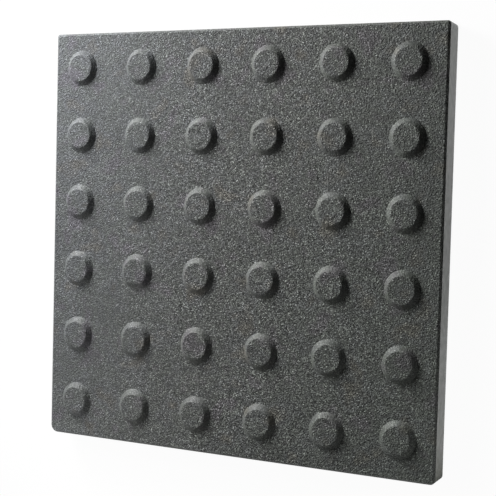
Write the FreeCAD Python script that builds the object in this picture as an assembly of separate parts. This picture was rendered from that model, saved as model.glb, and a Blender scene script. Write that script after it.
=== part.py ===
import FreeCAD
import Part

import math
import os

# Tactile paving slab, cast in one piece: a square body with a grid of flat-topped studs on its walking face.
# It lies flat with the studs up. The origin is the middle of the underside, and +Z points out of the face.

# Driving dimensions of the body, in millimetres
slab_side = 400.0
body_thickness = 27.0
face_bevel = 2.0
near_corner_radius = 5.0
far_corner_radius = 2.5
back_arris_radius = 1.2

# Driving dimensions of the studs, in millimetres
column_pitch = 66.9
row_pitch = 66.0
grid_shift_left = 2.0
grid_shift_far = 1.1
stud_foot_diameter = 35.0
stud_top_diameter = 25.0
stud_height = 5.0
stud_rim_ease = 0.4
plain_border = 12.0

# Sizes that follow from the ones above
half_side = slab_side / 2
face_level = body_thickness
foot_radius = stud_foot_diameter / 2
top_radius = stud_top_diameter / 2
flank_slant = math.hypot(foot_radius - top_radius, stud_height)
rim_out = top_radius + stud_rim_ease * (foot_radius - top_radius) / flank_slant
rim_drop = stud_rim_ease * stud_height / flank_slant
same_place = 1e-4


def is_level(edge, level):
    """True for an edge that stays at one height."""
    box = edge.BoundBox
    return abs(box.ZMin - level) < same_place and abs(box.ZMax - level) < same_place


def is_upright(edge):
    """True for a straight edge that stands on a corner of the plan."""
    box = edge.BoundBox
    return box.XLength < same_place and box.YLength < same_place


def slab_body():
    """The square body: corners rounded in plan, the face's edge bevelled, the back arris eased."""
    lowest_corner = FreeCAD.Vector(-half_side, -half_side, 0)
    body = Part.makeBox(slab_side, slab_side, body_thickness, lowest_corner)
    far_corners = [edge for edge in body.Edges if is_upright(edge) and edge.CenterOfMass.y > 0]
    body = body.makeFillet(far_corner_radius, far_corners)
    near_corners = [edge for edge in body.Edges if is_upright(edge) and edge.CenterOfMass.y < 0]
    body = body.makeFillet(near_corner_radius, near_corners)
    face_edges = [edge for edge in body.Edges if is_level(edge, face_level)]
    body = body.makeChamfer(face_bevel, face_edges)
    back_edges = [edge for edge in body.Edges if is_level(edge, 0)]
    return body.makeFillet(back_arris_radius, back_edges)


def stud():
    """One stud with its foot at the origin: a truncated cone turned from its half section, its rim eased."""
    foot_middle = FreeCAD.Vector(0, 0, 0)
    foot_edge = FreeCAD.Vector(foot_radius, 0, 0)
    rim_below = FreeCAD.Vector(rim_out, 0, stud_height - rim_drop)
    rim_inside = FreeCAD.Vector(top_radius - stud_rim_ease, 0, stud_height)
    top_middle = FreeCAD.Vector(0, 0, stud_height)
    half_section = [foot_middle, foot_edge, rim_below, rim_inside, top_middle, foot_middle]
    outline = Part.makePolygon(half_section)
    return Part.Face(outline).revolve(foot_middle, FreeCAD.Vector(0, 0, 1), 360)


def grid_steps(pitch, middle):
    """Places along one side about this middle: as many as leave the plain border free."""
    room = slab_side - 2 * (plain_border + abs(middle)) - stud_foot_diameter
    count = int(math.floor(room / pitch)) + 1
    first = middle - pitch * (count - 1) / 2
    return [first + pitch * index for index in range(count)]


def stud_places():
    """The middle of each stud's foot, row by row."""
    columns = grid_steps(column_pitch, -grid_shift_left)
    rows = grid_steps(row_pitch, grid_shift_far)
    return [FreeCAD.Vector(x, y, face_level) for y in rows for x in columns]


def tactile_slab():
    """The body with its studs grown out of the face, as one solid."""
    pattern = stud()
    studs = [pattern.translated(place) for place in stud_places()]
    return slab_body().multiFuse(studs).removeSplitter().Solids[0]


os.makedirs("parts", exist_ok=True)
tactile_slab().exportStep("parts/tactile_slab.step")
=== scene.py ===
import math

import bmesh
import bpy
import numpy as np
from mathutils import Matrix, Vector, noise


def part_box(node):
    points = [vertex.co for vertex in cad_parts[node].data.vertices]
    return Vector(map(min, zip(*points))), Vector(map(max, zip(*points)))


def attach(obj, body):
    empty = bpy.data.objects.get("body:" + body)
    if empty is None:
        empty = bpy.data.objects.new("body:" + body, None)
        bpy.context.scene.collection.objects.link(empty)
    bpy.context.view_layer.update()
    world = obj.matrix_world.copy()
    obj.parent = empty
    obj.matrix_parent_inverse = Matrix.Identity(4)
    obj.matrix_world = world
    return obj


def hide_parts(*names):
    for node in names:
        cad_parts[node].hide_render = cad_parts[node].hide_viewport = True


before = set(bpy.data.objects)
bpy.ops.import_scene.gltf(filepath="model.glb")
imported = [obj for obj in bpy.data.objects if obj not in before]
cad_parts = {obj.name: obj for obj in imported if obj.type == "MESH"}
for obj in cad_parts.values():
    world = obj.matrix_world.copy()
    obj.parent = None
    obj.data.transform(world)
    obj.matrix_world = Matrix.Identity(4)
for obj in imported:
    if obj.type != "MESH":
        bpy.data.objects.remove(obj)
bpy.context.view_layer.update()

# The slab is one piece of dark grey concrete, cast face down in a square mould and turned out.
# The mould's floor and stud cups gave the face its sandy grain, and left the studs' flanks smoother.
# Its walls were plain, so the sides carry a smooth, paler skin. The face's colour is darker than theirs
# and the flanks', partly as painted shade among its sand grains.
slab_low, slab_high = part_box("tactile_slab")
half_side = slab_high.x
solid_stud_height = 0.005
face_level = slab_high.z - solid_stud_height
face_bevel = 0.002
back_arris = 0.0012
studs_per_row = 6
column_pitch = 0.0669
row_pitch = 0.066
grid_shift_left = 0.0018
grid_shift_far = 0.0011

# The studs of this slab came out a little lower than the solid's, and hollow towards the foot
stud_height = 0.0046
foot_radius = 0.01725
top_radius = 0.0126
rim_ease = 0.0004
foot_ease = 0.0002
foot_rise = 0.01
flank_hollow = 0.25
first_column = -grid_shift_left - column_pitch * (studs_per_row - 1) / 2
first_row = grid_shift_far - row_pitch * (studs_per_row - 1) / 2
face_half = half_side - face_bevel

# Rings of the mesh: shares of the way out over a stud's top, down its flank, and on to its square's edge
top_rings = (0.18, 0.36, 0.54, 0.72, 0.87)
flank_rings = (0.05, 0.35, 0.65, 0.88)
face_rings = (0.08, 0.18, 0.30, 0.43, 0.57, 0.71, 0.86, 1.0)
segments_per_side = 26
edge_crowding = 1.5

# Unevenness of the studs, as shares of their size, how often it comes round a stud, and the noise
# seeds that make it different for each stud and for its foot
stud_unevenness, swing_rate = 0.022, 1.4
stud_raggedness, chip_rate = 0.012, 8
stud_lean = 0.03
stud_oval = 0.018
column_seed, row_seed, foot_seed = 3.7, 11.3, 50
chance = np.random.default_rng(36)
least_facing = 0.1
sharpest_corner = 1e-5

# Corner radii in plan, (side in x, side in y): (at the face, at the underside)
corner_radii = {
    (-1, -1): (0.0075, 0.0055),
    (1, -1): (0.005, 0.0035),
    (-1, 1): (0.0025, 0.0035),
    (1, 1): (0.0025, 0.0035),
}

# Rims that came out of the mould or wore with a flat: (column, row): (direction in degrees, distance)
flat_rims = {
    (1, 4): (231, 0.0098),
    (1, 2): (272, 0.0108),
    (5, 0): (216, 0.0112),
    (5, 4): (238, 0.0115),
    (4, 4): (262, 0.0112),
    (3, 5): (250, 0.0118),
    (0, 2): (10, 0.0115),
}


def cell_steps(index, first, pitch):
    """Places along one side of a stud's square, crowded towards the slab's own edge."""
    start = first + (index - 0.5) * pitch
    end = first + (index + 0.5) * pitch
    share = np.linspace(0, 1, segments_per_side + 1)
    if index == 0:
        start = -face_half
        share = share**edge_crowding
    if index == studs_per_row - 1:
        end = face_half
        share = 1 - (1 - share) ** edge_crowding
    return start + (end - start) * share


def square_loop(xs, ys):
    """The points round a square, anticlockwise from its low corner."""
    bottom = np.column_stack([xs[:-1], np.full(len(xs) - 1, ys[0])])
    right = np.column_stack([np.full(len(ys) - 1, xs[-1]), ys[:-1]])
    top = np.column_stack([xs[:0:-1], np.full(len(xs) - 1, ys[-1])])
    left = np.column_stack([np.full(len(ys) - 1, xs[0]), ys[:0:-1]])
    return np.vstack([bottom, right, top, left])


def round_corners(points, half, inset, depth=0.0):
    """Pulls the corners of a square onto the plan's corner arcs, at this depth (1 is the underside)."""
    for signs, (at_face, at_underside) in corner_radii.items():
        arc = max(at_face + (at_underside - at_face) * depth - inset, sharpest_corner)
        corner = np.array(signs) * (half - arc)
        out = (points[:, :2] - corner) * signs
        inside = (out > 0).all(axis=1)
        reach = out[inside]
        squeeze = reach.max(axis=1) / np.hypot(reach[:, 0], reach[:, 1])
        points[inside, :2] = corner + reach * squeeze[:, None] * signs
    return points


def uneven(direction, seed):
    """A factor near 1 for each direction round a stud, as a hand-dressed mould cup gives it."""
    swings = [noise.noise(Vector((swing_rate * x, swing_rate * y, seed))) for x, y in direction]
    chips = [noise.noise(Vector((chip_rate * x, chip_rate * y, seed))) for x, y in direction]
    return 1 + stud_unevenness * np.array(swings) + stud_raggedness * np.array(chips)


def stud_rings(square, middle, column, row):
    """Rings of points from the middle of a stud's top out to the edge of its square."""
    out = square - middle
    direction = out / np.linalg.norm(out, axis=1)[:, None]
    seed = column_seed * column + row_seed * row
    oval = 1 + stud_oval * (direction[:, 1] ** 2 - direction[:, 0] ** 2)
    rim = oval * uneven(direction, seed)
    foot = oval * uneven(direction, seed + foot_seed)
    if (column, row) in flat_rims:
        degrees, distance = flat_rims[column, row]
        turn = math.radians(degrees)
        facing = np.maximum(direction @ [math.cos(turn), math.sin(turn)], least_facing)
        rim = np.minimum(rim, distance / facing / top_radius)
    lean = direction @ chance.uniform(-stud_lean, stud_lean, 2)
    rings = []

    def add_ring(reach, height):
        plan = middle + direction * reach[:, None]
        level = face_level + stud_height * height * (1 + lean * reach / top_radius)
        rings.append(np.column_stack([plan, level]))

    for share in top_rings:
        add_ring(share * top_radius * rim, 1.0)
    add_ring(top_radius * rim - rim_ease, 1.0)
    run = foot_radius * foot - top_radius * rim
    for share in flank_rings:
        add_ring(top_radius * rim + run * share, (1 - share) * (1 - flank_hollow * share))
    add_ring(foot_radius * foot - foot_ease, foot_rise)
    start = rings[-1][:, :2]
    for share in face_rings:
        plan = start + (square - start) * share
        rings.append(np.column_stack([plan, np.full(len(plan), face_level)]))
    return rings


FACE, FLANK, SIDE, UNDERSIDE = range(4)
vertices, faces, zones = [], [], []


def add_band(lower, upper, count, zone):
    """Joins two loops of points, given by the index of their first point, with a band of quads."""
    for step in range(count):
        after = (step + 1) % count
        faces.append((lower + step, lower + after, upper + after, upper + step))
        zones.append(zone)


rim_ring = len(top_rings) + 1
foot_ring = rim_ring + len(flank_rings)
for row in range(studs_per_row):
    for column in range(studs_per_row):
        middle = np.array([first_column + column * column_pitch, first_row + row * row_pitch])
        across = cell_steps(column, first_column, column_pitch)
        along = cell_steps(row, first_row, row_pitch)
        square = square_loop(across, along)
        count = len(square)
        centre = len(vertices)
        vertices.append((middle[0], middle[1], face_level + stud_height))
        ring_starts = []
        for ring in stud_rings(square, middle, column, row):
            ring_starts.append(len(vertices))
            vertices.extend(map(tuple, round_corners(ring, face_half, face_bevel)))
        for step in range(count):
            faces.append((centre, ring_starts[0] + step, ring_starts[0] + (step + 1) % count))
            zones.append(FACE)
        for index in range(1, len(ring_starts)):
            zone = FLANK if rim_ring <= index <= foot_ring else FACE
            add_band(ring_starts[index], ring_starts[index - 1], count, zone)

# The skirt runs from the face's edge over the bevel, down the sides, round the back arris and in under
# the slab. Each loop has its inset, its level, and the zone of the band above it.
side_loops = 8
arris_turns = (math.pi / 6, math.pi / 3, math.pi / 2)
underside_insets = (0.006, 0.02, 0.05, 0.1, 0.15)
all_columns = [cell_steps(column, first_column, column_pitch)[:-1] for column in range(studs_per_row)]
all_rows = [cell_steps(row, first_row, row_pitch)[:-1] for row in range(studs_per_row)]
outline = square_loop(np.append(all_columns, face_half), np.append(all_rows, face_half))
side_levels = np.linspace(face_level - face_bevel, back_arris, side_loops)
skirt = [(face_bevel, face_level, FLANK), (face_bevel / 2, face_level - face_bevel / 2, FLANK)]
skirt += [(0.0, level, FLANK if level == side_levels[0] else SIDE) for level in side_levels]
skirt += [
    (back_arris * (1 - math.cos(turn)), back_arris * (1 - math.sin(turn)), SIDE)
    for turn in arris_turns
]
skirt += [(inset, 0.0, UNDERSIDE) for inset in underside_insets]
loop_starts = []
for inset, level, zone in skirt:
    half = half_side - inset
    loop = round_corners(outline * (half / face_half), half, inset, 1 - level / face_level)
    loop_starts.append(len(vertices))
    vertices.extend((x, y, level) for x, y in loop)
    if len(loop_starts) > 1:
        add_band(loop_starts[-1], loop_starts[-2], len(outline), zone)
faces.append(tuple(reversed(range(loop_starts[-1], loop_starts[-1] + len(outline)))))
zones.append(UNDERSIDE)

same_place = 1e-6
sharp_angle = math.radians(32)
slab_mesh = bpy.data.meshes.new("tactile_slab_cast")
slab_mesh.from_pydata(vertices, [], faces)
slab_mesh.polygons.foreach_set("material_index", zones)
shaper = bmesh.new()
shaper.from_mesh(slab_mesh)
bmesh.ops.remove_doubles(shaper, verts=shaper.verts, dist=same_place)
bmesh.ops.recalc_face_normals(shaper, faces=shaper.faces)

# Relief of the cast face: fine grain and slow waves, and an edge from which small bits are nibbled
relief_floor = face_level - face_bevel * 0.9
nibbled_edge = face_bevel * 1.1
grain_size, grain_height = 0.0016, 0.00004
wave_size, wave_height = 0.02, 0.0001
nibble_size, nibble_depth, nibble_start = 0.007, 0.0009, 0.1
for vertex in shaper.verts:
    spot = vertex.co
    if spot.z > relief_floor:
        grain_rise = grain_height * noise.noise(spot / grain_size)
        wave_rise = wave_height * noise.noise(spot / wave_size)
        spot.z += grain_rise + wave_rise
        edge_distance = half_side - max(abs(spot.x), abs(spot.y))
        if edge_distance < nibbled_edge:
            nibble = nibble_depth * max(0.0, noise.noise(spot / nibble_size) - nibble_start)
            spot.x -= math.copysign(nibble, spot.x) * (half_side - abs(spot.x) < nibbled_edge)
            spot.y -= math.copysign(nibble, spot.y) * (half_side - abs(spot.y) < nibbled_edge)
shaper.to_mesh(slab_mesh)
shaper.free()
slab_mesh.polygons.foreach_set("use_smooth", [True] * len(slab_mesh.polygons))
slab_mesh.set_sharp_from_angle(angle=sharp_angle)
slab = bpy.data.objects.new("tactile_slab_cast", slab_mesh)
bpy.context.scene.collection.objects.link(slab)


def add(tree, kind, settings=None, **sockets):
    """A new node. Each socket, with _ for a space in its name, takes a value or another node's output."""
    node = tree.nodes.new(kind)
    for name, value in (settings or {}).items():
        setattr(node, name, value)
    for name, value in sockets.items():
        socket = node.inputs[name.replace("_", " ")]
        if isinstance(value, bpy.types.NodeSocket):
            tree.links.new(value, socket)
        else:
            socket.default_value = value
    return node


def ramp(tree, source, *stops):
    """A colour ramp with (place, grey or colour) stops."""
    node = add(tree, "ShaderNodeValToRGB", Fac=source)
    elements = node.color_ramp.elements
    while len(elements) < len(stops):
        elements.new(1)
    for element, (place, tone) in zip(elements, stops):
        element.position = place
        shade = tone if isinstance(tone, tuple) else (tone, tone, tone)
        element.color = (*shade, 1)
    return node.outputs["Color"]


def blend(tree, kind, first, second, share=1.0):
    """Two colours put together, as a mix or a product."""
    node = add(tree, "ShaderNodeMix", {"data_type": "RGBA", "blend_type": kind})
    for socket, value in (("Factor_Float", share), ("A_Color", first), ("B_Color", second)):
        target = next(entry for entry in node.inputs if entry.identifier == socket)
        if isinstance(value, bpy.types.NodeSocket):
            tree.links.new(value, target)
        else:
            target.default_value = value
    return next(entry for entry in node.outputs if entry.identifier == "Result_Color")


def effect(name, inputs, outputs):
    """A new shader node group with named sockets, its incoming sockets and its end node."""
    group = bpy.data.node_groups.new(name, "ShaderNodeTree")
    for socket, kind in inputs:
        group.interface.new_socket(socket, in_out="INPUT", socket_type=kind)
    for socket, kind in outputs:
        group.interface.new_socket(socket, in_out="OUTPUT", socket_type=kind)
    return group, group.nodes.new("NodeGroupInput").outputs, group.nodes.new("NodeGroupOutput").inputs


# Uneven pigment: slow drifts of tone, a trace of green, blue and purple, and a cast that runs
# across the slab from bluish at the left to greenish yellow at the right
cast_axis = (1.9, -0.6, 0)
cast_middle = 0.5
pigment, given, made = effect(
    "uneven_pigment",
    [("Place", "NodeSocketVector")],
    [("Tint", "NodeSocketColor"), ("Patch", "NodeSocketFloat")],
)
hue = add(pigment, "ShaderNodeTexNoise", Vector=given["Place"], Scale=36.0, Detail=2.0)
hues = ramp(
    pigment,
    hue.outputs["Fac"],
    (0.32, (0.97, 0.94, 1.0)),
    (0.45, (0.93, 1.0, 0.93)),
    (0.58, (0.93, 0.98, 0.98)),
    (0.70, (1.0, 0.985, 0.88)),
)
drift = add(pigment, "ShaderNodeTexNoise", Vector=given["Place"], Scale=22.0, Detail=3.0)
tones = ramp(pigment, drift.outputs["Fac"], (0.3, 0.92), (0.7, 1.06))
cast_run = add(pigment, "ShaderNodeVectorMath", {"operation": "DOT_PRODUCT"})
pigment.links.new(given["Place"], cast_run.inputs[0])
cast_run.inputs[1].default_value = cast_axis
cast_share = add(pigment, "ShaderNodeMath", {"operation": "ADD"})
pigment.links.new(cast_run.outputs["Value"], cast_share.inputs[0])
cast_share.inputs[1].default_value = cast_middle
cast = ramp(
    pigment,
    cast_share.outputs["Value"],
    (0.0, (1.0, 1.0, 1.085)),
    (0.5, (1.025, 1.0, 0.99)),
    (1.0, (0.97, 1.0, 0.935)),
)
drifting_hues = blend(pigment, "MULTIPLY", hues, tones)
pigment.links.new(blend(pigment, "MULTIPLY", drifting_hues, cast), made["Tint"])
pigment.links.new(drift.outputs["Fac"], made["Patch"])

# Sand: grains and pits about a millimetre across, each of its own tone, with their relief
sand, given, made = effect(
    "sand_grain",
    [("Place", "NodeSocketVector"), ("Contrast", "NodeSocketFloat")],
    [("Tone", "NodeSocketColor"), ("Relief", "NodeSocketFloat")],
)
grains = add(sand, "ShaderNodeTexVoronoi", Vector=given["Place"], Scale=1300.0)
grain_chance = add(sand, "ShaderNodeSeparateColor", Color=grains.outputs["Color"])
grain_tone = ramp(
    sand,
    grain_chance.outputs["Red"],
    (0.0, 0.0),
    (0.25, 0.32),
    (0.55, 0.82),
    (0.80, 1.38),
    (0.92, 2.45),
    (1.0, 4.60),
)
sand.links.new(blend(sand, "MIX", (1, 1, 1, 1), grain_tone, given["Contrast"]), made["Tone"])
lumps = add(sand, "ShaderNodeTexNoise", Vector=given["Place"], Scale=800.0, Detail=0.0)
sand.links.new(lumps.outputs["Fac"], made["Relief"])


def concrete(name):
    """A new material with its node tree, Principled shader, object coordinates and pigment tint."""
    material = bpy.data.materials.new(name)
    material.use_nodes = True
    tree = material.node_tree
    place = add(tree, "ShaderNodeTexCoord").outputs["Object"]
    tint = add(tree, "ShaderNodeGroup", {"node_tree": pigment}, Place=place)
    return material, tree, tree.nodes["Principled BSDF"], place, tint


def paint(tree, surface, tones, height, depth):
    """Multiplies the tones into the shader's colour, and puts relief of this depth in metres on it."""
    colour = tones[0]
    for tone in tones[1:]:
        colour = blend(tree, "MULTIPLY", colour, tone)
    tree.links.new(colour, surface.inputs["Base Color"])
    relief = add(tree, "ShaderNodeBump", Strength=1.0, Distance=depth, Height=height)
    tree.links.new(relief.outputs["Normal"], surface.inputs["Normal"])


# The face and the studs' tops: bare sand, with more of a cement skin left towards the slab's edges.
# Their tone is darker than the flanks', partly as painted shade among the sand grains.
# Partly painted shade: the same concrete as the flanks, coloured darker for the shade among its grains
face_tone_with_grain_shade = (0.0885, 0.0893, 0.0893, 1)
face_relief = 0.0008
sandy_face, tree, surface, place, tint = concrete("sandy_face_concrete")
patchy = ramp(tree, tint.outputs["Patch"], (0.35, 0.8), (0.65, 1.0))
face_place = add(tree, "ShaderNodeSeparateXYZ", Vector=place)
bare_shares = []
for axis, stops in (
    ("X", ((0.0, 0.55), (0.18, 0.65), (0.40, 1.0), (0.60, 1.0), (0.82, 0.92), (0.98, 0.75))),
    ("Y", ((0.0, 0.95), (0.5, 1.0), (0.9, 0.88))),
):
    along_axis = face_place.outputs[axis]
    run = add(tree, "ShaderNodeMapRange", Value=along_axis, From_Min=-half_side, From_Max=half_side)
    bare_shares.append(ramp(tree, run.outputs["Result"], *stops))
bare_sand = blend(tree, "MULTIPLY", patchy, blend(tree, "MULTIPLY", *bare_shares))
grain = add(tree, "ShaderNodeGroup", {"node_tree": sand}, Place=place, Contrast=bare_sand)
face_tones = [face_tone_with_grain_shade, tint.outputs["Tint"], grain.outputs["Tone"]]
paint(tree, surface, face_tones, grain.outputs["Relief"], face_relief)
tree.links.new(ramp(tree, grain.outputs["Relief"], (0.3, 0.95), (0.7, 0.75)), surface.inputs["Roughness"])

# The studs' flanks and the bevel: smooth from the mould, with the sand showing faintly and a dull sheen
flank_tone = (0.106, 0.107, 0.106, 1)
flank_relief = 0.0005
cup_flank, tree, surface, place, tint = concrete("cup_smooth_concrete")
grain = add(tree, "ShaderNodeGroup", {"node_tree": sand}, Place=place, Contrast=0.4)
flank_tones = [flank_tone, tint.outputs["Tint"], grain.outputs["Tone"]]
paint(tree, surface, flank_tones, grain.outputs["Relief"], flank_relief)
tree.links.new(ramp(tree, grain.outputs["Relief"], (0.3, 0.6), (0.7, 0.45)), surface.inputs["Roughness"])
surface.inputs["Specular IOR Level"].default_value = 0.40

# The sides: smooth and paler, clouded and stained. Towards the near right corner they are stained darker
# and greener, with painted shade on the corner's rounding, and the two sides that meet there are duller
# and a
# little darker about their middle: (share of the side's length, tint, factor on roughness).
side_relief = 0.0003
side_stains_and_corner_shade = (
    (0.006, (0.40, 0.40, 0.32), 2.0),
    (0.018, (0.74, 0.72, 0.56), 1.42),
    (0.045, (0.88, 0.86, 0.70), 1.22),
    (0.085, (1.02, 1.0, 0.92), 1.02),
    (0.30, (1.0, 1.0, 1.0), 1.0),
    (0.38, (0.88, 0.90, 0.88), 1.12),
    (0.50, (0.88, 0.90, 0.88), 1.12),
    (0.62, (0.95, 0.95, 0.95), 1.04),
    (0.78, (1.06, 1.08, 1.06), 0.96),
)
wall_side, tree, surface, place, tint = concrete("wall_smooth_concrete")
cloud = add(tree, "ShaderNodeTexNoise", Vector=place, Scale=160.0, Detail=4.0)
side_tone = ramp(tree, cloud.outputs["Fac"], (0.3, (0.106, 0.111, 0.107)), (0.7, (0.136, 0.142, 0.137)))
stain = add(tree, "ShaderNodeTexNoise", Vector=place, Scale=9.0, Detail=1.0)
stains = ramp(tree, stain.outputs["Fac"], (0.35, 0.86), (0.65, 1.10))
in_plan = add(tree, "ShaderNodeVectorMath", {"operation": "MULTIPLY"})
tree.links.new(place, in_plan.inputs[0])
in_plan.inputs[1].default_value = (1, 1, 0)
from_corner = add(tree, "ShaderNodeVectorMath", {"operation": "DISTANCE"})
tree.links.new(in_plan.outputs["Vector"], from_corner.inputs[0])
from_corner.inputs[1].default_value = (half_side, -half_side, 0)
from_end = add(tree, "ShaderNodeMapRange", Value=from_corner.outputs["Value"], From_Max=2 * half_side)
# The darkest stop, on the rounding at the near right corner, is painted shade; the grey-green beyond it is
# stain
dirt_and_corner_shade = ramp(tree, from_end.outputs["Result"], *[(stop, shade) for stop, shade, _ in side_stains_and_corner_shade])
side_tones = [side_tone, stains, dirt_and_corner_shade, tint.outputs["Tint"]]
paint(tree, surface, side_tones, cloud.outputs["Fac"], side_relief)
sheen = ramp(tree, cloud.outputs["Fac"], (0.3, 0.30), (0.7, 0.42))
dulling = ramp(tree, from_end.outputs["Result"], *[(stop, factor) for stop, _, factor in side_stains_and_corner_shade])
tree.links.new(blend(tree, "MULTIPLY", sheen, dulling), surface.inputs["Roughness"])
surface.inputs["Specular IOR Level"].default_value = 0.40
surface.inputs["Specular Tint"].default_value = (0.955, 1.0, 0.96, 1)

# The underside: struck off level while wet, so it is rough and matt
back_relief = 0.0008
struck_back, tree, surface, place, tint = concrete("struck_back_concrete")
strike = add(tree, "ShaderNodeTexNoise", Vector=place, Scale=110.0, Detail=6.0, Roughness=0.65)
back_tone = ramp(tree, strike.outputs["Fac"], (0.3, 0.11), (0.7, 0.18))
paint(tree, surface, [back_tone, tint.outputs["Tint"]], strike.outputs["Fac"], back_relief)
tree.links.new(ramp(tree, strike.outputs["Fac"], (0.3, 0.9), (0.7, 0.75)), surface.inputs["Roughness"])

for material in (sandy_face, cup_flank, wall_side, struck_back):
    slab_mesh.materials.append(material)
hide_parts("tactile_slab")
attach(slab, "root")

# The floor is a plain white studio table on which the slab lies flat with its studs up.
# It is far larger than the view, and takes the slab's soft shadow.
floor_half = 4.0
floor_grey = (0.86, 0.86, 0.86, 1)
seen_white = 0.96
floor_mesh = bpy.data.meshes.new("studio_floor")
floor_mesh.from_pydata(
    [
        (-floor_half, -floor_half, 0),
        (floor_half, -floor_half, 0),
        (floor_half, floor_half, 0),
        (-floor_half, floor_half, 0),
    ],
    [],
    [(0, 1, 2, 3)],
)
floor = bpy.data.objects.new("studio_floor", floor_mesh)
floor.location.z = slab_low.z
bpy.context.scene.collection.objects.link(floor)

# Seen directly, mirrored or through something clear, the floor is nearly all glow, so that it shows white.
# The matt rest of it takes the shadow, and to other light the floor is matt all over.
paper = bpy.data.materials.new("white_table")
paper.use_nodes = True
tree = paper.node_tree
tree.nodes.clear()
light_path = tree.nodes.new("ShaderNodeLightPath")
seen_or_mirrored = tree.nodes.new("ShaderNodeMath")
seen_or_mirrored.operation = "MAXIMUM"
tree.links.new(light_path.outputs["Is Camera Ray"], seen_or_mirrored.inputs[0])
tree.links.new(light_path.outputs["Is Glossy Ray"], seen_or_mirrored.inputs[1])
seen_any_way = tree.nodes.new("ShaderNodeMath")
seen_any_way.operation = "MAXIMUM"
tree.links.new(seen_or_mirrored.outputs["Value"], seen_any_way.inputs[0])
tree.links.new(light_path.outputs["Is Transmission Ray"], seen_any_way.inputs[1])
whiteness = tree.nodes.new("ShaderNodeMath")
whiteness.operation = "MULTIPLY"
whiteness.inputs[1].default_value = seen_white
tree.links.new(seen_any_way.outputs["Value"], whiteness.inputs[0])
matt = tree.nodes.new("ShaderNodeBsdfDiffuse")
matt.inputs["Color"].default_value = floor_grey
glow = tree.nodes.new("ShaderNodeEmission")
glow.inputs["Strength"].default_value = 1.0
either = tree.nodes.new("ShaderNodeMixShader")
tree.links.new(whiteness.outputs["Value"], either.inputs["Fac"])
tree.links.new(matt.outputs["BSDF"], either.inputs[1])
tree.links.new(glow.outputs["Emission"], either.inputs[2])
output = tree.nodes.new("ShaderNodeOutputMaterial")
tree.links.new(either.outputs["Shader"], output.inputs["Surface"])
floor_mesh.materials.append(paper)

# A soft lamp stands off the slab's far left corner and rakes low across the face, and a wider one
# on the left carries its light round. Two weak cards lift the near left and the near right corners.
# The room is dim, and shows as white behind the floor.


def softbox(name, azimuth, elevation, distance, width, height, energy):
    """A soft lamp that looks at the middle of the slab's face from this direction, in degrees."""
    data = bpy.data.lights.new(name, "AREA")
    data.shape = "RECTANGLE"
    data.size = width
    data.size_y = height
    data.energy = energy
    lamp = bpy.data.objects.new(name, data)
    turn = math.radians(azimuth)
    rise = math.radians(elevation)
    out = Vector((math.cos(turn) * math.cos(rise), math.sin(turn) * math.cos(rise), math.sin(rise)))
    lamp.location = Vector((0, 0, face_level)) + distance * out
    lamp.rotation_euler = (-out).to_track_quat("-Z", "Y").to_euler()
    bpy.context.scene.collection.objects.link(lamp)


softbox("raking_softbox", azimuth=135, elevation=22.6, distance=0.79, width=0.25, height=0.35, energy=10.5)
softbox("left_softbox", azimuth=148, elevation=39, distance=1.2, width=0.35, height=0.35, energy=6.8)
softbox("near_left_card", azimuth=230, elevation=27, distance=0.35, width=0.3, height=0.3, energy=0.28)
softbox("near_right_card", azimuth=314, elevation=13, distance=0.34, width=0.3, height=0.2, energy=0.065)

room_light = 0.012
backdrop_light = 1.0
room = bpy.data.worlds.new("dim_room")
room.use_nodes = True
tree = room.node_tree
backdrop = tree.nodes["Background"]
light_path = tree.nodes.new("ShaderNodeLightPath")
strength = tree.nodes.new("ShaderNodeMapRange")
strength.inputs["To Min"].default_value = room_light
strength.inputs["To Max"].default_value = backdrop_light
tree.links.new(light_path.outputs["Is Camera Ray"], strength.inputs["Value"])
tree.links.new(strength.outputs["Result"], backdrop.inputs["Strength"])
backdrop.inputs["Color"].default_value = (1, 1, 1, 1)
bpy.context.scene.world = room

# The camera looks down on the slab as the photograph looks at its face: a little over 25 degrees
# off the face's normal, from the right, with the near edge at the bottom of the picture.
picture_width = 496
focal_pixels = 1111.24
shift_pixels = -12.49
camera_right, camera_far, camera_height = 0.45005, 0.06023, 0.92987
camera_turns = (-1.9642, 25.1050, 2.5734)
camera_data = bpy.data.cameras.new("product_camera")
camera_data.sensor_width = 36.0
camera_data.lens = camera_data.sensor_width * focal_pixels / picture_width
camera_data.shift_y = shift_pixels / picture_width
camera = bpy.data.objects.new("product_camera", camera_data)
camera.location = (camera_right, camera_far, face_level + camera_height)
camera.rotation_mode = "YXZ"
camera.rotation_euler = [math.radians(turn) for turn in camera_turns]
bpy.context.scene.collection.objects.link(camera)
bpy.context.scene.camera = camera
bpy.context.scene.view_settings.view_transform = "Standard"
